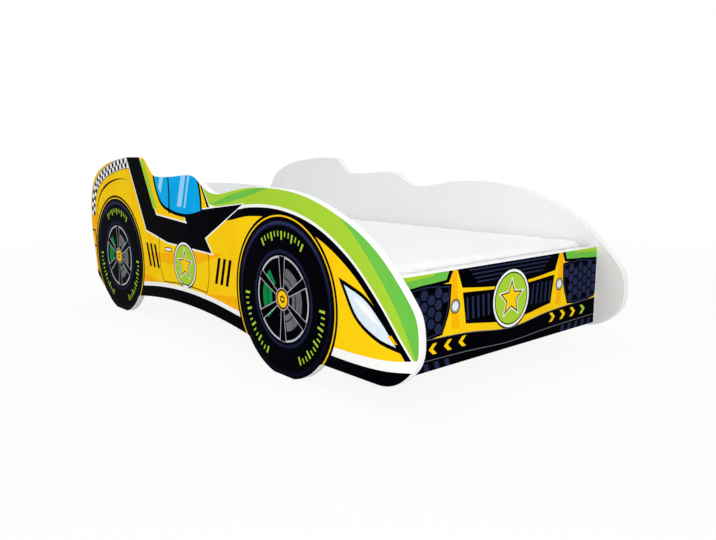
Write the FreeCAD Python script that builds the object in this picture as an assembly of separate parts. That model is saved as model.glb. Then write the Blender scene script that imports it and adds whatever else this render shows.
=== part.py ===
import FreeCAD, Part
import math
import os

from FreeCAD import Vector

# Car-shaped children's bed, flat-pack. Millimetres, +Z up, origin on the floor at the centre.
# +X points to the nose of the car (the foot of the bed), +Y to its left-hand side.

# Mattress and the play it is given
mattress_length = 1400.0
mattress_width = 700.0
mattress_thickness = 78.0
mattress_crown = 6.0
mattress_corner_radius = 62.0
mattress_side_draw = 4.0
mattress_side_sink = 1.5
foam_inset = 9.0
lower_roll = 12.0
upper_roll = 18.0
roll_steps = 2
mattress_shoulder_rise = 3.0
mattress_shoulder_inset = 52.0
mattress_crown_inset = 200.0
mattress_end_play = 2.5
mattress_side_play = 2.0
cover_thickness = 2.5
quilting_thickness = 7.0
soft_clearance = 0.3
least_corner_radius = 10.0

# Boards
board = 18.0
nose_overhang = 77.0
tail_overhang = 22.0

# Wheels in the outline of a side panel, and the flat each one stands on
wheel_radius = 178.0
wheel_sink = 4.0
front_wheel_back = 413.0
rear_wheel_ahead = 222.0

# Heights above the floor
sill_end_height = 64.0
sill_crown_height = 88.0
nose_under_height = 57.0
front_panel_bottom = 67.0
front_panel_top = 262.0
head_panel_bottom = 96.0
head_panel_side_top = 366.0
head_panel_crown = 392.0
slat_top = 190.0

# Bed base
slat_count = 13
slat_width = 60.0
slat_thickness = 12.0
slat_side_play = 2.0
slat_end_margin = 22.0
slat_chamfer = 2.0
rail_thickness = 25.0
rail_depth = 40.0
rail_end_play = 5.0
strap_width = 20.0
strap_thickness = 1.2
strap_offset = 200.0

# Fittings
fit_clearance = 0.05
hole_clearance = 0.25
cam_radius = 7.5
cam_recess = 0.7
cam_floor = 1.5
cam_backset = 34.0
fitting_edge_distance = 55.0
cam_driver_width = 1.4
cam_driver_length = 8.0
cam_driver_depth = 3.0
cap_rim = 1.5
cap_thickness = 1.2
bolt_thread_radius = 2.5
bolt_thread_length = 11.0
bolt_shaft_radius = 3.0
bolt_reach = 2.0
dowel_radius = 4.0
dowel_in_side = 11.0
dowel_in_end = 21.0
bore_spare = 1.0
screw_radius = 2.0
screw_head_radius = 4.5
screw_head_height = 2.0
rail_screw_bite = 11.0
rail_screw_count = 4
rail_screw_margin = 110.0
slat_screw_bite = 26.0
slat_screw_inset = 14.0
slat_screw_sink = 3.0

# The bed's main planes
inner_length = mattress_length + 2 * mattress_end_play
inner_width = mattress_width + 2 * mattress_side_play
overall_length = inner_length + 2 * board + nose_overhang + tail_overhang
overall_width = inner_width + 2 * board
tail_x = -overall_length / 2
nose_x = overall_length / 2
head_inner_x = tail_x + tail_overhang + board
front_inner_x = nose_x - nose_overhang - board
side_inner_y = inner_width / 2
slat_bottom = slat_top - slat_thickness
cam_pocket_depth = board / 2 + bolt_shaft_radius + cam_floor
cam_depth = cam_pocket_depth - cam_recess
cap_radius = cam_radius + cap_rim
rail_screw_length = rail_thickness + rail_screw_bite
slat_screw_length = slat_thickness - slat_screw_sink + slat_screw_bite
mattress_bottom = slat_top + soft_clearance
base_middle_x = (head_inner_x + front_inner_x) / 2

# Outline of a side panel, as smooth sweeps through (distance, height) points whose corners are rounded
# afterwards. Distances at the tail run ahead of it, and at the nose behind the nose tip.
tail_height = 265.0
lower_tail_sweep = [(28.0, 91.0), (13.0, 185.0)]
nose_tip_height = 150.0
upper_nose_sweep = [(330.0, 403.0), (209.0, 365.0), (104.0, 306.0), (25.0, 228.0)]
lower_nose_sweep = [(26.0, 92.0), (110.0, nose_under_height)]

# The fin at the tail, as (distance ahead of the tail, drop below the fin's top), and the fin's foot
fin_height = 484.0
fin_top_ahead = 380.0
fin_back_sweep = [(9.0, 139.0), (43.0, 74.0), (104.0, 38.0), (191.0, 15.0), (293.0, 3.0)]
fin_tip = (444.0, 3.0)
fin_foot = (500.0, 432.0)

# The waist, from the fin's foot to the crown of the hump over the front wheel: (distance ahead of the
# foot, height) as drawn over waist_drawn, which the sweeps are stretched or shortened from with the bed
hump_crown = (480.0, 415.5)
waist_drawn = 560.0
cockpit_sweep = [(84.0, 430.0), (150.0, 434.0), (215.0, 437.0)]
shoulder_sweep = [(245.0, 432.0), (275.0, 415.0), (308.0, 400.0), (348.0, 393.5)]
hump_sweep = [(387.0, 397.0), (468.0, 410.0)]

# Slopes that the sweeps start or end with, as height over distance
fin_tip_slope = 0.06
fin_foot_slope = 0.12
lower_tail_lean = 0.12

# Roundings of the outline's corners
corner_round = 16.0
fin_tip_round = 22.0
fin_foot_round = 30.0
sill_round = 14.0

same_place = 0.01

os.makedirs("parts", exist_ok=True)


def save(node, *solids):
    """Write one node: a single solid, or a group of like pieces."""
    shape = solids[0] if len(solids) == 1 else Part.makeCompound(list(solids))
    shape.exportStep("parts/" + node + ".step")


def box(low, high):
    """Square-edged block between two corners."""
    size = high - low
    return Part.makeBox(size.x, size.y, size.z, low)


def rod(radius, length, base, direction):
    return Part.makeCylinder(radius, length, base, direction)


def turned(profile, base, direction):
    """Solid turned about its own axis from (radius, distance along the axis) points."""
    outline = [Vector(0, 0, profile[0][1])]
    outline += [Vector(radius, 0, along) for radius, along in profile]
    outline += [Vector(0, 0, profile[-1][1])]
    face = Part.Face(Part.makePolygon(outline + outline[:1]))
    solid = face.revolve(Vector(0, 0, 0), Vector(0, 0, 1), 360)
    turn = FreeCAD.Rotation(Vector(0, 0, 1), direction)
    solid.Placement = FreeCAD.Placement(base, turn)
    return solid


def on_left(solid):
    """The same piece on the left-hand side of the car."""
    return solid.mirror(Vector(0, 0, 0), Vector(0, 1, 0))


# Side panels: one board each, cut to the outline of the car, standing on its two wheels.
def ahead_of_tail(point):
    return Vector(tail_x + point[0], 0, point[1])


def behind_nose(point):
    return Vector(nose_x - point[0], 0, point[1])


def below_fin_top(point):
    return Vector(tail_x + point[0], 0, fin_height - point[1])


def along_waist(point, foot, crown):
    """Point between the fin's foot and the crown of the hump, which lie as far apart as the bed leaves."""
    return Vector(foot.x + point[0] * (crown.x - foot.x) / waist_drawn, 0, point[1])


def smooth(points, start=None, end=None):
    """Smooth sweep through the points, with the directions it starts and ends in."""
    curve = Part.BSplineCurve()
    if start and end:
        curve.interpolate(Points=points, InitialTangent=start, FinalTangent=end)
    else:
        curve.interpolate(Points=points)
    return curve.toShape()


def wheel_point(centre, height, side):
    """Point of the wheel's rim at a height, ahead of its centre (1) or behind it (-1)."""
    reach = math.sqrt(wheel_radius ** 2 - (height - centre.z) ** 2)
    return Vector(centre.x + side * reach, 0, height)


def rim_arc(centre, first, last):
    """The rim's arc from one point to another, by the way of its lower half."""
    middle = (first + last) / 2 - centre
    middle = centre + middle / middle.Length * wheel_radius
    return Part.Arc(first, middle, last).toShape()


def tangent_from(point, centre):
    """Where the straight edge from a point behind the wheel runs into its rim from below."""
    away = point - centre
    half_angle = math.acos(wheel_radius / away.Length)
    bearing = math.atan2(away.z, away.x) + half_angle
    return centre + Vector(math.cos(bearing), 0, math.sin(bearing)) * wheel_radius


def side_outline():
    """Closed outline of a side panel, and the corners that get rounded, with their radii."""
    wheel_height = wheel_radius - wheel_sink
    rear = Vector(tail_x + rear_wheel_ahead, 0, wheel_height)
    front = Vector(nose_x - front_wheel_back, 0, wheel_height)
    tail_end = Vector(tail_x, 0, tail_height)
    lower_tail = [ahead_of_tail(point) for point in lower_tail_sweep]
    fin_back = [below_fin_top(point) for point in fin_back_sweep]
    fin_top = below_fin_top((fin_top_ahead, 0))
    tip = below_fin_top(fin_tip)
    foot = ahead_of_tail(fin_foot)
    crown = behind_nose(hump_crown)
    cockpit = [along_waist(point, foot, crown) for point in cockpit_sweep + shoulder_sweep]
    hump = [along_waist(point, foot, crown) for point in hump_sweep] + [crown]
    nose_tip = Vector(nose_x, 0, nose_tip_height)
    upper_nose = [behind_nose(point) for point in upper_nose_sweep]
    lower_nose = [behind_nose(point) for point in lower_nose_sweep]

    rear_tangent = tangent_from(lower_tail[0], rear)
    rear_foot = [wheel_point(rear, 0, side) for side in (-1, 1)]
    front_foot = [wheel_point(front, 0, side) for side in (-1, 1)]
    sill_rear = wheel_point(rear, sill_end_height, 1)
    sill_front = wheel_point(front, sill_end_height, -1)
    sill_middle = Vector((sill_rear.x + sill_front.x) / 2, 0, sill_crown_height)
    nose_start = wheel_point(front, nose_under_height, 1)

    forward, up = Vector(1, 0, 0), Vector(0, 0, 1)
    down_to_tip = tip - fin_top - fin_tip_slope * (tip - fin_top).Length * up
    edges = [
        Part.makeLine(lower_tail[0], rear_tangent),
        rim_arc(rear, rear_tangent, rear_foot[0]),
        Part.makeLine(rear_foot[0], rear_foot[1]),
        rim_arc(rear, rear_foot[1], sill_rear),
        Part.Arc(sill_rear, sill_middle, sill_front).toShape(),
        rim_arc(front, sill_front, front_foot[0]),
        Part.makeLine(front_foot[0], front_foot[1]),
        rim_arc(front, front_foot[1], nose_start),
        Part.makeLine(nose_start, lower_nose[-1]),
        smooth([nose_tip] + lower_nose, -up, -forward),
        smooth(hump[-1:] + upper_nose + [nose_tip], forward, -up),
        smooth(cockpit[-1:] + hump, forward, forward),
        smooth([foot] + cockpit, forward - fin_foot_slope * up, forward),
        Part.makeLine(tip, foot),
        smooth([fin_top, tip], forward, down_to_tip),
        smooth([tail_end] + fin_back + [fin_top], up, forward),
        smooth(lower_tail + [tail_end], up - lower_tail_lean * forward, up),
    ]
    wire = Part.Wire(Part.__sortEdges__(edges))
    rounds = [
        (lower_tail[0], corner_round),
        (tip, fin_tip_round),
        (foot, fin_foot_round),
        (sill_rear, sill_round),
        (sill_front, sill_round),
        (nose_start, sill_round),
    ]
    return wire, rounds


def edges_at(solid, corner):
    """The edges that run through the thickness of the board at a corner of its outline."""
    found = []
    for edge in solid.Edges:
        ends = [vertex.Point for vertex in edge.Vertexes]
        away = [math.hypot(end.x - corner.x, end.z - corner.z) for end in ends]
        if len(ends) == 2 and max(away) < same_place:
            found.append(edge)
    return found


def fitting_heights(bottom, top):
    """Height of the cam lock near the top of an end panel's corner, and of the dowel near its foot."""
    return top - fitting_edge_distance, bottom + fitting_edge_distance


front_bolt, front_dowel = fitting_heights(front_panel_bottom, front_panel_top)
head_bolt, head_dowel = fitting_heights(head_panel_bottom, head_panel_side_top)
front_axis_x = front_inner_x + board / 2
head_axis_x = head_inner_x - board / 2
rail_length = inner_length - 2 * rail_end_play
rail_axis_z = slat_bottom - rail_depth / 2
rail_screw_xs = [
    base_middle_x - rail_length / 2 + rail_screw_margin
    + index * (rail_length - 2 * rail_screw_margin) / (rail_screw_count - 1)
    for index in range(rail_screw_count)
]


def side_panel():
    wire, rounds = side_outline()
    panel = Part.Face(wire).extrude(Vector(0, board, 0))
    panel.translate(Vector(0, -overall_width / 2, 0))
    for corner, radius in rounds:
        panel = panel.makeFillet(radius, edges_at(panel, corner))
    out = Vector(0, -1, 0)
    drillings = []
    bolt_bore = (bolt_thread_radius + fit_clearance, bolt_thread_length + bore_spare)
    dowel_bore = (dowel_radius + fit_clearance, dowel_in_side + bore_spare)
    for x, z, bore in (
        (front_axis_x, front_bolt, bolt_bore),
        (front_axis_x, front_dowel, dowel_bore),
        (head_axis_x, head_bolt, bolt_bore),
        (head_axis_x, head_dowel, dowel_bore),
    ):
        drillings.append(rod(*bore, Vector(x, -side_inner_y, z), out))
    return panel.cut(Part.makeCompound(drillings))


# End panels: the front panel, at the foot, carries the car's nose; the head panel closes the bed.
def end_panel_bores(inner_x, toward_bed, bolt, dowel):
    """Cam pockets in the inner face, bolt and dowel bores in both end faces."""
    axis_x = inner_x - toward_bed * board / 2
    bores = []
    for side in (-1, 1):
        inward = Vector(0, -side, 0)
        bolt_end = Vector(axis_x, side * side_inner_y, bolt)
        bores.append(rod(dowel_radius + fit_clearance, cam_backset, bolt_end, inward))
        pocket = Vector(inner_x, side * (side_inner_y - cam_backset), bolt)
        bores.append(rod(cam_radius + fit_clearance, cam_pocket_depth, pocket, Vector(-toward_bed, 0, 0)))
        end = Vector(axis_x, side * side_inner_y, dowel)
        bores.append(rod(dowel_radius + fit_clearance, dowel_in_end + bore_spare, end, inward))
    return Part.makeCompound(bores)


def front_panel():
    low = Vector(front_inner_x, -side_inner_y, front_panel_bottom)
    high = Vector(front_inner_x + board, side_inner_y, front_panel_top)
    panel = box(low, high)
    return panel.cut(end_panel_bores(front_inner_x, -1, front_bolt, front_dowel))


def head_panel():
    low_left = Vector(head_inner_x, side_inner_y, head_panel_bottom)
    low_right = Vector(head_inner_x, -side_inner_y, head_panel_bottom)
    top_left = Vector(head_inner_x, side_inner_y, head_panel_side_top)
    top_right = Vector(head_inner_x, -side_inner_y, head_panel_side_top)
    crown = Vector(head_inner_x, 0, head_panel_crown)
    wire = Part.Wire([
        Part.makeLine(low_left, low_right),
        Part.makeLine(low_right, top_right),
        Part.Arc(top_right, crown, top_left).toShape(),
        Part.makeLine(top_left, low_left),
    ])
    panel = Part.Face(wire).extrude(Vector(-board, 0, 0))
    return panel.cut(end_panel_bores(head_inner_x, 1, head_bolt, head_dowel))


# Cam locks: a steel bolt screwed into the side panel is drawn in by a cam in the end panel.
def cam_bolt(x, z, side):
    """Bolt with its thread in the side panel and its shaft reaching to the middle of the cam."""
    profile = [
        (bolt_thread_radius, -bolt_thread_length),
        (bolt_thread_radius, 0),
        (bolt_shaft_radius, 0),
        (bolt_shaft_radius, cam_backset + bolt_reach),
    ]
    return turned(profile, Vector(x, side * side_inner_y, z), Vector(0, -side, 0))


def cam(inner_x, toward_bed, z, side):
    """Cam disc in its pocket, with a hollow for the end of the bolt and a slot for the driver."""
    into_board = Vector(-toward_bed, 0, 0)
    face = Vector(inner_x, side * (side_inner_y - cam_backset), z) + into_board * cam_recess
    disc = rod(cam_radius, cam_depth, face, into_board)
    axis = Vector(inner_x - toward_bed * board / 2, face.y, z)
    outward = Vector(0, side, 0)
    hollow_start = axis - outward * (bolt_reach + hole_clearance)
    hollow = rod(bolt_shaft_radius + hole_clearance, 2 * cam_radius, hollow_start, outward)
    reach = Vector(cam_driver_depth, cam_driver_width / 2, cam_driver_length / 2)
    slot = box(face - reach, face + reach)
    return disc.cut(Part.makeCompound([hollow, slot]))


def cam_cap(inner_x, toward_bed, z, side):
    """White push-on cap over the cam."""
    face = Vector(inner_x, side * (side_inner_y - cam_backset), z)
    return rod(cap_radius, cap_thickness, face, Vector(toward_bed, 0, 0))


def dowel(x, z, side):
    start = Vector(x, side * (side_inner_y + dowel_in_side), z)
    return rod(dowel_radius, dowel_in_side + dowel_in_end, start, Vector(0, -side, 0))


# Bed base: battens screwed to the side panels, slats lying on them, held at even distance by webbing.
def screw(length, seat, direction):
    """Flat-headed wood screw: seat is the middle of the face under its head, direction its way in."""
    profile = [
        (screw_head_radius, -screw_head_height),
        (screw_head_radius, 0),
        (screw_radius, 0),
        (screw_radius, length),
    ]
    return turned(profile, seat, direction)


slat_pitch = (rail_length - 2 * slat_end_margin - slat_width) / (slat_count - 1)
slat_xs = [
    base_middle_x - (slat_count - 1) * slat_pitch / 2 + index * slat_pitch
    for index in range(slat_count)
]
slat_half_length = side_inner_y - slat_side_play
slat_screw_y = slat_half_length - slat_screw_inset
end_slat_xs = (slat_xs[0], slat_xs[-1])


def rail():
    inward = Vector(0, 1, 0)
    low = Vector(base_middle_x - rail_length / 2, -side_inner_y, slat_bottom - rail_depth)
    high = Vector(base_middle_x + rail_length / 2, -side_inner_y + rail_thickness, slat_bottom)
    hole = (screw_radius + hole_clearance, rail_thickness)
    holes = [rod(*hole, Vector(x, -side_inner_y, rail_axis_z), inward) for x in rail_screw_xs]
    return box(low, high).cut(Part.makeCompound(holes))


def slat(x):
    timber = box(Vector(x - slat_width / 2, -slat_half_length, slat_bottom),
                 Vector(x + slat_width / 2, slat_half_length, slat_top))
    long_edges = [edge for edge in timber.Edges if edge.Length > slat_width]
    upper_edges = [edge for edge in long_edges if edge.CenterOfMass.z > slat_bottom + slat_thickness / 2]
    timber = timber.makeChamfer(slat_chamfer, upper_edges)
    if x not in end_slat_xs:
        return timber
    holes = []
    for side in (-1, 1):
        foot = Vector(x, side * slat_screw_y, slat_bottom)
        seat = Vector(x, side * slat_screw_y, slat_top - slat_screw_sink)
        holes.append(rod(screw_radius + hole_clearance, slat_thickness, foot, Vector(0, 0, 1)))
        holes.append(rod(screw_head_radius + hole_clearance, slat_screw_sink, seat, Vector(0, 0, 1)))
    return timber.cut(Part.makeCompound(holes))


def strap(y):
    return box(Vector(slat_xs[0] - slat_width / 2, y - strap_width / 2, slat_bottom - strap_thickness),
               Vector(slat_xs[-1] + slat_width / 2, y + strap_width / 2, slat_bottom))


# Mattress: a foam block with softly crowned top and sides drawn in between the corners, in a cover.
def mattress_section(height, inset):
    """Level section of the mattress: four sides bowed inwards, joined by round corners."""
    half_x = mattress_length / 2 - inset
    half_y = mattress_width / 2 - inset
    radius = max(mattress_corner_radius - inset, least_corner_radius)
    draw = mattress_side_draw
    middle = Vector(base_middle_x, 0, height)

    def at(x, y):
        return middle + Vector(x, y, 0)

    diagonal = radius * (1 - math.sqrt(0.5))
    edges = []
    for sx, sy in ((1, 1), (-1, 1), (-1, -1), (1, -1)):
        on_side = at(sx * half_x, sy * (half_y - radius))
        on_end = at(sx * (half_x - radius), sy * half_y)
        corner = at(sx * (half_x - diagonal), sy * (half_y - diagonal))
        first, last = (on_side, on_end) if sx == sy else (on_end, on_side)
        edges.append(Part.Arc(first, corner, last).toShape())
        if sx == sy:
            side_end = at(-sx * (half_x - radius), sy * half_y)
            edges.append(Part.Arc(on_end, at(0, sy * (half_y - draw)), side_end).toShape())
        else:
            side_end = at(sx * half_x, -sy * (half_y - radius))
            edges.append(Part.Arc(on_side, at(sx * (half_x - draw), 0), side_end).toShape())
    return Part.Wire(edges)


def mattress_profile(thickness):
    """(height above the underside, inset) up the side and over the top, from its rolls and crown."""
    profile = []
    for step in range(roll_steps + 1):
        angle = math.pi / 2 * step / roll_steps
        profile.append((lower_roll * (1 - math.cos(angle)), lower_roll * (1 - math.sin(angle))))
    profile.append((thickness / 2, mattress_side_sink))
    for step in range(roll_steps + 1):
        angle = math.pi / 2 * step / roll_steps
        profile.append((thickness - upper_roll * (1 - math.sin(angle)), upper_roll * (1 - math.cos(angle))))
    profile.append((thickness + mattress_shoulder_rise, mattress_shoulder_inset))
    profile.append((thickness + mattress_crown, mattress_crown_inset))
    return profile


def mattress_form():
    """The outside of the mattress."""
    sections = [
        mattress_section(mattress_bottom + height, inset)
        for height, inset in mattress_profile(mattress_thickness)
    ]
    return Part.makeLoft(sections, True, True)


def foam_block(spare):
    """The block of foam inside the cover, larger all round by a spare width."""
    low = mattress_bottom + cover_thickness - spare
    height = mattress_thickness - cover_thickness - quilting_thickness + 2 * spare
    inset = cover_thickness + foam_inset - spare
    return Part.Face(mattress_section(low, inset)).extrude(Vector(0, 0, height))


right_panel = side_panel()
save("side_panel_right", right_panel)
save("side_panel_left", on_left(right_panel))
save("front_panel", front_panel())
save("head_panel", head_panel())

for name, inner_x, toward_bed, bolt_z, dowel_z in (
    ("front", front_inner_x, -1, front_bolt, front_dowel),
    ("head", head_inner_x, 1, head_bolt, head_dowel),
):
    axis_x = inner_x - toward_bed * board / 2
    save(name + "_cam_bolts", *[cam_bolt(axis_x, bolt_z, side) for side in (-1, 1)])
    save(name + "_cams", *[cam(inner_x, toward_bed, bolt_z, side) for side in (-1, 1)])
    save(name + "_cam_caps", *[cam_cap(inner_x, toward_bed, bolt_z, side) for side in (-1, 1)])
    save(name + "_dowels", *[dowel(axis_x, dowel_z, side) for side in (-1, 1)])

right_rail = rail()
save("slat_rail_right", right_rail)
save("slat_rail_left", on_left(right_rail))
rail_screws = [
    screw(rail_screw_length, Vector(x, -side_inner_y + rail_thickness, rail_axis_z), Vector(0, -1, 0))
    for x in rail_screw_xs
]
save("rail_screws_right", *rail_screws)
save("rail_screws_left", *[on_left(piece) for piece in rail_screws])

for number, x in enumerate(slat_xs, 1):
    save("slat_%02d" % number, slat(x))
save("webbing_right", strap(-strap_offset))
save("webbing_left", strap(strap_offset))
save("slat_screws", *[
    screw(slat_screw_length, Vector(x, side * slat_screw_y, slat_top - slat_screw_sink), Vector(0, 0, -1))
    for x in end_slat_xs for side in (-1, 1)
])

save("mattress_foam", foam_block(0))
save("mattress_cover", mattress_form().cut(foam_block(soft_clearance)))
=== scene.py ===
import math

import bmesh
import bpy
import numpy as np
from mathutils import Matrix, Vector
from mathutils.geometry import delaunay_2d_cdt


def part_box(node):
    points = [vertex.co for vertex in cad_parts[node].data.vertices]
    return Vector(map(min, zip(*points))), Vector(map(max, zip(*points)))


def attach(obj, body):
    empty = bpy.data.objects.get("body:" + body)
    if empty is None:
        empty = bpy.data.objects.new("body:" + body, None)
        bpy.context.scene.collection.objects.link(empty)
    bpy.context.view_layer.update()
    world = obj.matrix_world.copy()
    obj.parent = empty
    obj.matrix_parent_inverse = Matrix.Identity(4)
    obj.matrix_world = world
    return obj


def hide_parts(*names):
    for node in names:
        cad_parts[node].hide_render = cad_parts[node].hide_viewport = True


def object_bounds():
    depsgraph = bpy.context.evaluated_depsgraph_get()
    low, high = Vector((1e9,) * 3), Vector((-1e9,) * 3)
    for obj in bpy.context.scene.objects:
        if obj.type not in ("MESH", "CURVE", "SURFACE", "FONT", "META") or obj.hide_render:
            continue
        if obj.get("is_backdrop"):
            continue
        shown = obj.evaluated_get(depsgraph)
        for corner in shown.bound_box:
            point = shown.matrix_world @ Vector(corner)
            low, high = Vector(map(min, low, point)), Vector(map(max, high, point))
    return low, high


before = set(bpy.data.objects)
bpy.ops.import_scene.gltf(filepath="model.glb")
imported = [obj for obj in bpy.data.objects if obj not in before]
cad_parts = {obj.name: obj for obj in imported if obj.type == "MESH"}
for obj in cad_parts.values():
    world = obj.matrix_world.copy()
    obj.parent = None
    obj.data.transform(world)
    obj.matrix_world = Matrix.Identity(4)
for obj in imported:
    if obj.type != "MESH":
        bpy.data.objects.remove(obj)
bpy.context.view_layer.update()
scene = bpy.context.scene
scene.view_settings.view_transform = "Standard"


# The studio: a pale floor under a white sky, a wide soft lamp over the bed, a weaker one before its nose
# and a small warm one low down. The camera stands low off the right-hand front corner.
def linear(red, green, blue):
    """Colour of a shader socket from its screen values of 0 to 255."""
    shares = [value / 255 for value in (red, green, blue)]
    return (*[s / 12.92 if s <= 0.04045 else ((s + 0.055) / 1.055) ** 2.4 for s in shares], 1.0)


class Link:
    """An output of a material's node. Sums and products of links add Math nodes, node() adds any other."""

    def __init__(self, tree, socket=None):
        self.tree = tree
        self.socket = socket

    def node(self, kind, settings, values, output=0):
        made = self.tree.nodes.new("ShaderNode" + kind)
        for name, value in settings.items():
            setattr(made, name, value)
        for key, value in values.items():
            if isinstance(value, Link):
                self.tree.links.new(value.socket, made.inputs[key])
            else:
                made.inputs[key].default_value = value
        return Link(self.tree, made.outputs[output] if made.outputs else None)

    def math(self, operation, other=0.0):
        return self.node("Math", {"operation": operation}, {0: self, 1: other})

    def __add__(self, other):
        return self.math("ADD", other)

    def __sub__(self, other):
        return self.math("SUBTRACT", other)

    def __rsub__(self, other):
        return self.node("Math", {"operation": "SUBTRACT"}, {0: other, 1: self})

    def __mul__(self, other):
        return self.math("MULTIPLY", other)

    __radd__ = __add__
    __rmul__ = __mul__

    def between(self, low, high):
        """0 below low, 1 above high, and smooth between them."""
        return self.node("MapRange", {"interpolation_type": "SMOOTHSTEP"}, {0: self, 1: low, 2: high})

    def blend(self, first, second):
        """From the first colour to the second as this link goes from 0 to 1."""
        return self.node("Mix", {"data_type": "RGBA"}, {0: self, 6: first, 7: second}, 2)

    def stretched(self, along, across, up):
        """A place whose pattern is drawn out where a factor is small."""
        return self.node("VectorMath", {"operation": "MULTIPLY"}, {0: self, 1: (along, across, up)})

    def noise(self, scale, detail=3.0):
        return self.node("TexNoise", {}, {"Vector": self, "Scale": scale, "Detail": detail})

    def axis(self, name):
        return self.node("SeparateXYZ", {}, {0: self}, name)

    def bump(self, distance):
        """Normal of a surface that this link raises by up to a distance."""
        return self.node("Bump", {}, {"Height": self, "Distance": distance})


def seen_white(tree, lit, share, glow, output):
    """Shows white to the camera and in reflections by a share, and gives and takes light as lit does."""
    start = Link(tree)
    kinds = ("Is Camera Ray", "Is Glossy Ray", "Is Transmission Ray")
    direct, glossy, through = [start.node("LightPath", {}, {}, kind) for kind in kinds]
    white = start.node(glow, {}, {"Color": (1.0, 1.0, 1.0, 1.0), "Strength": 1.0})
    seen = (direct + glossy + through) * share
    mixed = start.node("MixShader", {}, {0: seen, 1: lit, 2: white})
    start.node(output, {}, {"Surface": mixed})


paper_white_near, paper_white_far = 0.91, 1.0
fade_start, fade_end = 1.2, 3.2
paper = bpy.data.materials.new("studio_paper")
paper.use_nodes = True
paper.node_tree.nodes.clear()
paper_lit = Link(paper.node_tree).node("BsdfDiffuse", {}, {"Color": (0.86, 0.86, 0.86, 1.0)})
paper_place = Link(paper.node_tree).node("TexCoord", {}, {}, "Object")
from_bed = paper_place.node("VectorMath", {"operation": "LENGTH"}, {0: paper_place}, "Value")
paper_white = paper_white_near + (paper_white_far - paper_white_near) * from_bed.between(fade_start, fade_end)
seen_white(paper.node_tree, paper_lit, paper_white, "Emission", "OutputMaterial")

floor_reach = 12.0
floor_corners = [(x * floor_reach, y * floor_reach, 0.0) for x, y in ((-1, -1), (1, -1), (1, 1), (-1, 1))]
floor_mesh = bpy.data.meshes.new("studio_floor")
floor_mesh.from_pydata(floor_corners, [], [(0, 1, 2, 3)])
floor_mesh.materials.append(paper)
floor = bpy.data.objects.new("studio_floor", floor_mesh)
scene.collection.objects.link(floor)
floor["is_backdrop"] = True

sky_strength = 0.615
sky = bpy.data.worlds.new("studio_sky")
scene.world = sky
sky.use_nodes = True
sky.node_tree.nodes.clear()
sky_light = {"Color": (1.0, 1.0, 1.0, 1.0), "Strength": sky_strength}
sky_lit = Link(sky.node_tree).node("Background", {}, sky_light)
seen_white(sky.node_tree, sky_lit, 1.0, "Background", "OutputWorld")


def softbox(name, place, aim, size, watts, tint=(1.0, 1.0, 1.0)):
    """Square lamp aimed at a point."""
    lamp = bpy.data.lights.new(name, "AREA")
    lamp.size = size
    lamp.energy = watts
    lamp.color = tint
    stand = bpy.data.objects.new(name, lamp)
    stand.location = place
    stand.rotation_euler = (Vector(aim) - Vector(place)).to_track_quat("-Z", "Y").to_euler()
    scene.collection.objects.link(stand)


softbox("lamp_overhead", (0.4, -0.8, 3.2), (0.0, 0.0, 0.2), 3.0, 38.0)
softbox("lamp_front", (2.8, -2.4, 1.5), (0.2, 0.0, 0.2), 2.0, 21.0)
softbox("lamp_low", (2.0, -1.3, 0.35), (0.72, 0.3, 0.2), 0.9, 6.5, (1.0, 0.95, 0.89))

# The camera's place and turns are those that lay the side panels' outlines on the photograph's.
camera_place = (1.547, -1.1932, 0.4747)
camera_yaw, camera_dip = 48.75, 9.32
camera = bpy.data.objects.new("camera", bpy.data.cameras.new("camera"))
camera.data.sensor_width = 36.0
camera.data.lens = 33.68
camera.location = camera_place
camera.rotation_euler = (math.radians(90.0 - camera_dip), 0.0, math.radians(camera_yaw))
scene.collection.objects.link(camera)
scene.camera = camera


# Boards: melamine-faced chipboard 18 mm thick, cut to shape, with a white edging strip ironed on and its
# arrises eased. The outline is read off the CAD board; one face may carry a print in coloured inks.
def finish(name, sockets, paint):
    """Material with its fixed shader sockets, and those that paint gives from the place on the bed."""
    material = bpy.data.materials.new(name)
    material.use_nodes = True
    tree = material.node_tree
    shader = tree.nodes["Principled BSDF"]
    place = Link(tree).node("TexCoord", {}, {}, "Object")
    for socket, value in sockets.items():
        shader.inputs[socket].default_value = value
    for socket, link in paint(place).items():
        tree.links.new(link.socket, shader.inputs[socket])
    return material


def area(loop):
    return sum(a[0] * b[1] - b[0] * a[1] for a, b in zip(loop, loop[1:] + loop[:1])) / 2


def face_outline(node, axis, level):
    """Outline in mm, anticlockwise, of the face of a CAD board that lies at a level of an axis."""
    mesh = bmesh.new()
    mesh.from_mesh(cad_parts[node].data)
    bmesh.ops.remove_doubles(mesh, verts=mesh.verts, dist=1e-6)
    for face in mesh.faces:
        face.tag = all(abs(vert.co[axis] - level) < 1e-5 for vert in face.verts)
    following = {}
    for corner in [corner for face in mesh.faces if face.tag for corner in face.loops]:
        if not any(other.tag for other in corner.edge.link_faces if other is not corner.face):
            following[corner.vert] = corner.link_loop_next.vert
    across, up = [index for index in range(3) if index != axis]
    loops = []
    while following:
        vert = next(iter(following))
        loop = []
        while vert in following:
            loop.append((vert.co[across] * 1000, vert.co[up] * 1000))
            vert = following.pop(vert)
        loops.append(loop)
    mesh.free()
    outline = max(loops, key=lambda loop: abs(area(loop)))
    return rounder(rounder(outline if area(outline) > 0 else outline[::-1]))


# A run counts as a chord of an arc where both its ends turn by less than this, and where it is less than so
# many times as long as the longer of its neighbours.
widest_turn = math.radians(30.0)
longest_run = 2.5


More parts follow.
